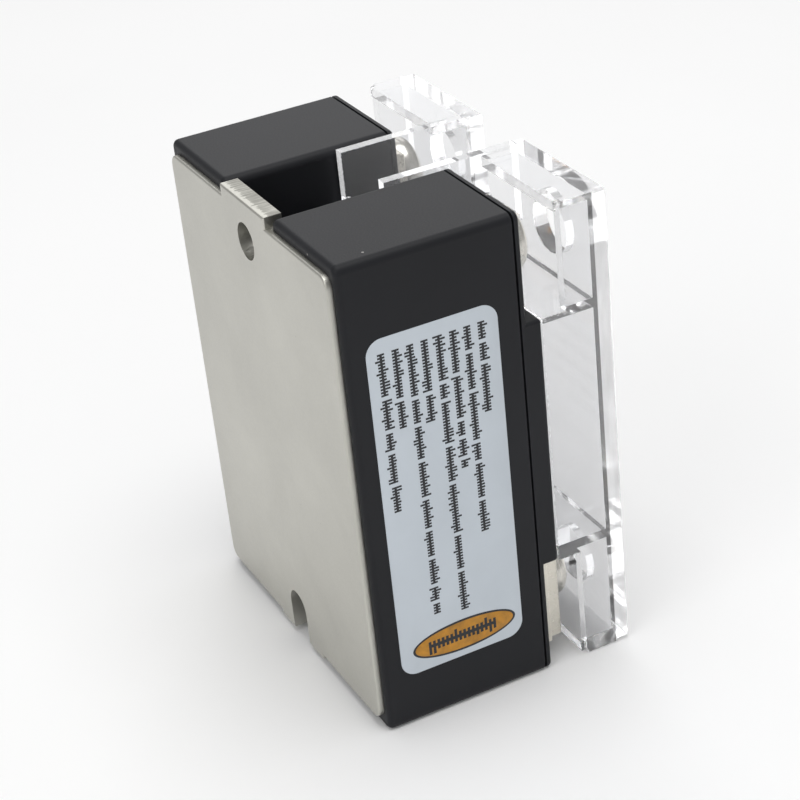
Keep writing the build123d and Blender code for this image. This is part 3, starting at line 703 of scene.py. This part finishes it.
def screw_surface(head_radius, head_height, shank_radius, shank_long, detail):
    """A closed surface of rings about the screw's axis, from the middle of the head to the tip.

    The profile runs out over a slightly crowned top, round a quarter circle, down the head's side, in
    along its seat and down the shank. On the top the cross recess sinks the height wherever the smaller
    of |u| and |v| is within a wing, and deeper towards the middle. On the shank the radius falls below its
    full size by thread_depth times a triangle wave of height / pitch + angle / full turn."""
    count = 160
    thread_depth = 0.51 * detail.thread_pitch
    angles = np.linspace(0, 2 * math.pi, count, endpoint=False)
    corner = head_height * 0.42
    crown = head_height * 0.05
    top_radius = head_radius - corner
    r_top = np.linspace(0, top_radius, 46)
    h_top = head_height - crown * (r_top / top_radius) ** 2
    bend = np.linspace(0, math.pi / 2, 9)[1:]
    r_bend = top_radius + corner * np.sin(bend)
    h_bend = head_height - crown - corner * (1 - np.cos(bend))
    lip = head_radius * 0.04
    r_seat = np.array([head_radius, head_radius - lip, shank_radius + lip, shank_radius])
    h_seat = np.array([lip, 0.0, 0.0, -lip])
    shank_rings = max(24, int(shank_long / detail.thread_pitch * 12))
    h_shank = np.linspace(-2 * lip, -shank_long + 2 * lip, shank_rings)
    r_shank = np.full(len(h_shank), shank_radius)
    r_tip = np.array([shank_radius * 0.8, shank_radius * 0.7, 0.0])
    h_tip = np.array([-shank_long + lip, -shank_long, -shank_long])
    radius = np.concatenate([r_top, r_bend, r_seat, r_shank, r_tip])[:, None] * np.ones(count)
    height = np.concatenate([h_top, h_bend, h_seat, h_shank, h_tip])[:, None] * np.ones(count)

    u = radius * np.cos(angles)
    v = radius * np.sin(angles)
    along = np.maximum(np.abs(u), np.abs(v))
    across = np.minimum(np.abs(u), np.abs(v))
    half_span = detail.recess_span / 2
    wing = half_span * 0.24 * (1.15 - 0.35 * along / half_span)
    inside = (1 - smooth_step(0.75, 1.1, across / wing)) * (1 - smooth_step(0.86, 1.0, along / half_span))
    centre = 1 - smooth_step(0.0, 1.0, np.hypot(u, v) / (half_span * 0.55))
    sink = detail.recess_depth * inside * (0.55 + 0.45 * centre)
    on_top = np.zeros_like(radius)
    on_top[:len(r_top)] = 1.0
    height = height - sink * on_top

    first = len(r_top) + len(r_bend) + len(r_seat)
    rows = slice(first, first + len(h_shank))
    phase = (height[rows] / detail.thread_pitch + angles / (2 * math.pi)) % 1.0
    wave = np.abs(2 * phase - 1)
    fade = smooth_step(0.0, 1.0, (-height[rows] - 2 * lip) / detail.thread_pitch)
    radius[rows] -= thread_depth * (1 - wave) * fade
    points = revolved(radius, height, angles)
    return points.reshape(-1, 3), grid_faces(len(radius), count)


def screw_axis(name):
    """X and Z of a terminal screw's axis, which runs along Y."""
    hinge = next(joint for joint in frame["joints"] if joint["name"] == name + "_screw_turn")
    return hinge["pos_m"][0], hinge["pos_m"][2]


class RELAY_OT_screws(bpy.types.Operator):
    """Makes the four terminal screws, with cross recess and thread"""
    bl_idname = "relay.screws"
    bl_label = "Terminal screws"

    def execute(self, context):
        detail = context.scene.relay_detail
        for name in TERMINALS:
            low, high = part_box(name + "_screw")
            axis_x, axis_z = screw_axis(name)
            seat_y = low.y + detail.head_height
            head_radius = (high.x - low.x) / 2
            shank_radius = head_radius * 0.488
            points, faces = screw_surface(head_radius, detail.head_height, shank_radius, high.y - seat_y,
                                          detail)
            points = placed(points, (axis_x, seat_y, axis_z), (1, 0, 0), (0, 0, 1), (0, -1, 0))
            screw = link(name + "_screw_threaded", mesh_from(name + "_screw_threaded", points, faces, 50.0))
            fit_piece(screw, "screw", name + "_screw_body", "screw_metal", name + "_screw")
        return {"FINISHED"}


def washer_surface(inner, outer, thickness, slit):
    """A split ring: the section is a rectangle with round corners, and each of its points runs at its own
    radius round an arc that stops short by the slit. The two ends are flat."""
    half = math.asin(min(1.0, slit / (inner + outer)))
    angles = np.linspace(math.pi / 2 + half, 5 * math.pi / 2 - half, 90)
    section = rounded_outline(outer - inner, thickness, thickness * 0.18, 4)
    radius = (inner + outer) / 2 + section[:, 0]
    height = thickness / 2 + section[:, 1]
    rings = np.ones((len(angles), 1))
    points = revolved(rings * radius, rings * height, angles[:, None])
    faces = grid_faces(len(angles), len(section))
    last = (len(angles) - 1) * len(section)
    faces.append(list(range(len(section))))
    faces.append([last + k for k in range(len(section))][::-1])
    return points.reshape(-1, 3), faces


class RELAY_OT_washers(bpy.types.Operator):
    """Makes the split spring washers of the output screws"""
    bl_idname = "relay.washers"
    bl_label = "Spring washers"

    def execute(self, context):
        for name in TERMINALS[:2]:
            node = name + "_spring_washer"
            low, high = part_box(node)
            axis_x, axis_z = screw_axis(name)
            outer = (high.x - low.x) / 2
            points, faces = washer_surface(outer * 0.6, outer, high.y - low.y, outer * 0.2)
            points = placed(points, (axis_x, high.y, axis_z), (1, 0, 0), (0, 0, 1), (0, -1, 0))
            washer = link(node + "_split", mesh_from(node + "_split", points, faces))
            fit_piece(washer, "screw", name + "_screw_body", "screw_metal", node)
        return {"FINISHED"}


def pads_mesh(name, pads, origin, u_axis, v_axis, out_axis):
    """One mesh of many pads, each an outline, a middle, a base height, a thickness and an edge."""
    points = []
    faces = []
    start = 0
    for outline, middle, base, thickness, edge in pads:
        loops = pad_loops(outline, thickness, edge) + np.array([middle[0], middle[1], base])
        points.append(loops.reshape(-1, 3))
        faces += grid_faces(loops.shape[0], loops.shape[1], start=start)
        start += loops.shape[0] * loops.shape[1]
    world = placed(np.concatenate(points), origin, u_axis, v_axis, out_axis)
    return link(name, mesh_from(name, world, faces))


def print_strokes(lengths, letter, pitch, rng, shortest=5, longest=18):
    """Lines of print as it looks from too far to read, as an array of U, V, width and height.

    Each line has a length, and starts at U = 0, one pitch below the last. It is made of words of upright
    strokes, at even steps and of uneven height: most are as tall as letter, and some reach up or down. All
    the neighbours in a word are joined by short level bars along its middle, which make it a plain comb. A
    bar fills its gap exactly, so no two strokes overlap. A word has from shortest to longest - 1 strokes."""
    wide = letter * 0.27
    gap = letter * 0.17
    bar = letter * 0.34
    strokes = []
    for line, long in enumerate(lengths):
        level = -line * pitch
        place = 0.0
        while place < long - 4 * wide:
            count = int(rng.integers(shortest, longest))
            for index in range(count):
                if place + wide > long:
                    break
                grow = rng.choice((0.0, 0.38, -0.34, 0.12), p=(0.58, 0.22, 0.12, 0.08))
                middle = level + grow * letter / 2
                strokes.append((place + wide / 2, middle, wide, letter * (1 + abs(grow))))
                if index < count - 1 and place + 2 * wide + gap <= long:
                    strokes.append((place + wide + gap / 2, level, gap, bar))
                place += wide + gap
            place += letter * 0.42
    return np.array(strokes)


def print_mesh(name, strokes, base, layer, origin, u_axis, v_axis, out_axis):
    """One mesh of flat printed strokes: each is a closed box, a layer thick, standing on the film."""
    corners = np.array([(-0.5, -0.5), (0.5, -0.5), (0.5, 0.5), (-0.5, 0.5)])
    flat = strokes[:, None, :2] + corners * strokes[:, None, 2:]
    points = np.stack([flat, flat], 1)
    height = np.broadcast_to(np.array([base, base + layer])[None, :, None, None], (*points.shape[:3], 1))
    points = np.concatenate([points, height], -1).reshape(-1, 3)
    box = np.array([(0, 3, 2, 1), (4, 5, 6, 7), (0, 1, 5, 4), (1, 2, 6, 5), (2, 3, 7, 6), (3, 0, 4, 7)])
    faces = (box[None] + 8 * np.arange(len(strokes))[:, None, None]).reshape(-1, 4)
    world = placed(points, origin, u_axis, v_axis, out_axis)
    mesh = bpy.data.meshes.new(name)
    mesh.from_pydata(world.tolist(), [], faces.tolist())
    mesh.validate()
    work = bmesh.new()
    work.from_mesh(mesh)
    bmesh.ops.recalc_face_normals(work, faces=work.faces)
    work.to_mesh(mesh)
    work.free()
    return link(name, mesh)


class RELAY_OT_side_label(bpy.types.Operator):
    """Makes the side label: film, printed strokes and oval badge"""
    bl_idname = "relay.side_label"
    bl_label = "Side label"

    def execute(self, context):
        detail = context.scene.relay_detail
        low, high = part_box("side_label")
        wide = high.y - low.y
        tall = high.z - low.z
        centre = (low.x, (low.y + high.y) / 2, (low.z + high.z) / 2)
        back = (high.x, centre[1], centre[2])
        axes = ((0, 0, -1), (0, -1, 0), (-1, 0, 0))     # U runs down the relay, V towards the cover
        thick = high.x - low.x + detail.film_proud
        film_outline = rounded_outline(tall, wide, 2.0 * MM, 12)
        film = pads_mesh("side_label_film", [(film_outline, (0, 0), 0.0, thick, FILM_EDGE)], back, *axes)
        fit_piece(film, "film", "relay", "side_label_print", "side_label")

        rng = np.random.default_rng(detail.print_seed)
        lengths = np.array([11.3, 26.6, 17.3, 35.8, 10.2, 35.2, 9.8, 20.1]) * MM
        strokes = print_strokes(lengths, detail.letter_height, detail.line_pitch, rng)
        strokes[:, :2] += (-tall / 2 + 1.8 * MM, wide / 2 - 2.1 * MM)      # the first line's start
        lines = print_mesh("side_label_lines", strokes, thick, INK_LAYER, back, *axes)
        fit_piece(lines, "ink", "relay", "side_label_print")

        oval_middle = (tall / 2 - 2.95 * MM, 0.35 * MM)
        ovals = (("side_label_oval_rim", (2.1 * MM, 6.75 * MM), thick, "ink"),
                 ("side_label_badge", (1.82 * MM, 6.45 * MM), thick + INK_LAYER, "badge"))
        for name, halves, base, key in ovals:
            pad = (ellipse_outline(*halves), oval_middle, base, INK_LAYER, INK_LAYER / 3)
            fit_piece(pads_mesh(name, [pad], back, *axes), key, "relay", "side_label_print")
        line_long = 9.4 * MM
        letter = detail.letter_height * 1.5
        word = print_strokes([line_long], letter, detail.line_pitch, rng, 60, 61)      # one unbroken word
        word[:, 0] -= line_long / 2
        word = word[:, [1, 0, 3, 2]]        # turned across the label
        word[:, :2] += oval_middle
        marks = print_mesh("side_label_badge_line", word, thick + 2 * INK_LAYER, INK_LAYER, back, *axes)
        fit_piece(marks, "ink", "relay", "side_label_print")
        return {"FINISHED"}


class RELAY_OT_front_label(bpy.types.Operator):
    """Makes the front label under the clear cover: film, title bar and printed strokes"""
    bl_idname = "relay.front_label"
    bl_label = "Front label"

    def execute(self, context):
        detail = context.scene.relay_detail
        low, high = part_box("front_label")
        wide = high.x - low.x
        tall = high.z - low.z
        back = ((low.x + high.x) / 2, high.y, (low.z + high.z) / 2)
        axes = ((1, 0, 0), (0, 0, 1), (0, -1, 0))
        thick = high.y - low.y + detail.film_proud
        outline = rounded_outline(wide, tall, 1.0 * MM, 8)
        film = pads_mesh("front_label_film", [(outline, (0, 0), 0.0, thick, FILM_EDGE)], back, *axes)
        fit_piece(film, "front film", "relay", "front_label_print", "front_label")
        bar = rounded_outline(wide * 0.86, tall * 0.16, 0.6 * MM, 6)
        pad = (bar, (0, tall * 0.36), thick, INK_LAYER, INK_LAYER / 3)
        title = pads_mesh("front_label_title", [pad], back, *axes)
        fit_piece(title, "badge", "relay", "front_label_print")
        rng = np.random.default_rng(detail.print_seed + 1)
        lengths = np.array([0.62, 0.48, 0.7, 0.55, 0.4]) * wide
        strokes = print_strokes(lengths, detail.letter_height * 1.3, detail.line_pitch * 1.45, rng)
        strokes[:, :2] += (-wide * 0.43, tall * 0.17)       # the first line's start
        lines = print_mesh("front_label_lines", strokes, thick, INK_LAYER, back, *axes)
        fit_piece(lines, "ink", "relay", "front_label_print")
        return {"FINISHED"}


# ---- panel and registration ------------------------------------------------------------------
OPERATORS = (RELAY_OT_stage, RELAY_OT_mouldings, RELAY_OT_plate, RELAY_OT_inside, RELAY_OT_screws,
             RELAY_OT_washers, RELAY_OT_side_label, RELAY_OT_front_label)


class RELAY_PT_panel(bpy.types.Panel):
    """Lists the relay's pieces"""
    bl_idname = "RELAY_PT_panel"
    bl_label = "Relay"
    bl_space_type = "VIEW_3D"
    bl_region_type = "UI"
    bl_category = "Relay"

    def draw(self, context):
        for operator in OPERATORS:
            self.layout.operator(operator.bl_idname)
        for group in (context.scene.relay_finish, context.scene.relay_detail, context.scene.relay_studio):
            for key in group.__annotations__:
                self.layout.prop(group, key)


CLASSES = (RelayFinish, RelayDetail, RelayStudio, *OPERATORS, RELAY_PT_panel)


def register():
    for item in CLASSES:
        bpy.utils.register_class(item)
    bpy.types.Scene.relay_finish = PointerProperty(type=RelayFinish)
    bpy.types.Scene.relay_detail = PointerProperty(type=RelayDetail)
    bpy.types.Scene.relay_studio = PointerProperty(type=RelayStudio)


def unregister():
    del bpy.types.Scene.relay_studio
    del bpy.types.Scene.relay_detail
    del bpy.types.Scene.relay_finish
    for item in reversed(CLASSES):
        bpy.utils.unregister_class(item)


def main():
    register()
    for operator in OPERATORS:
        category, call = operator.bl_idname.split(".")
        getattr(getattr(bpy.ops, category), call)()


if __name__ == "__main__":
    main()
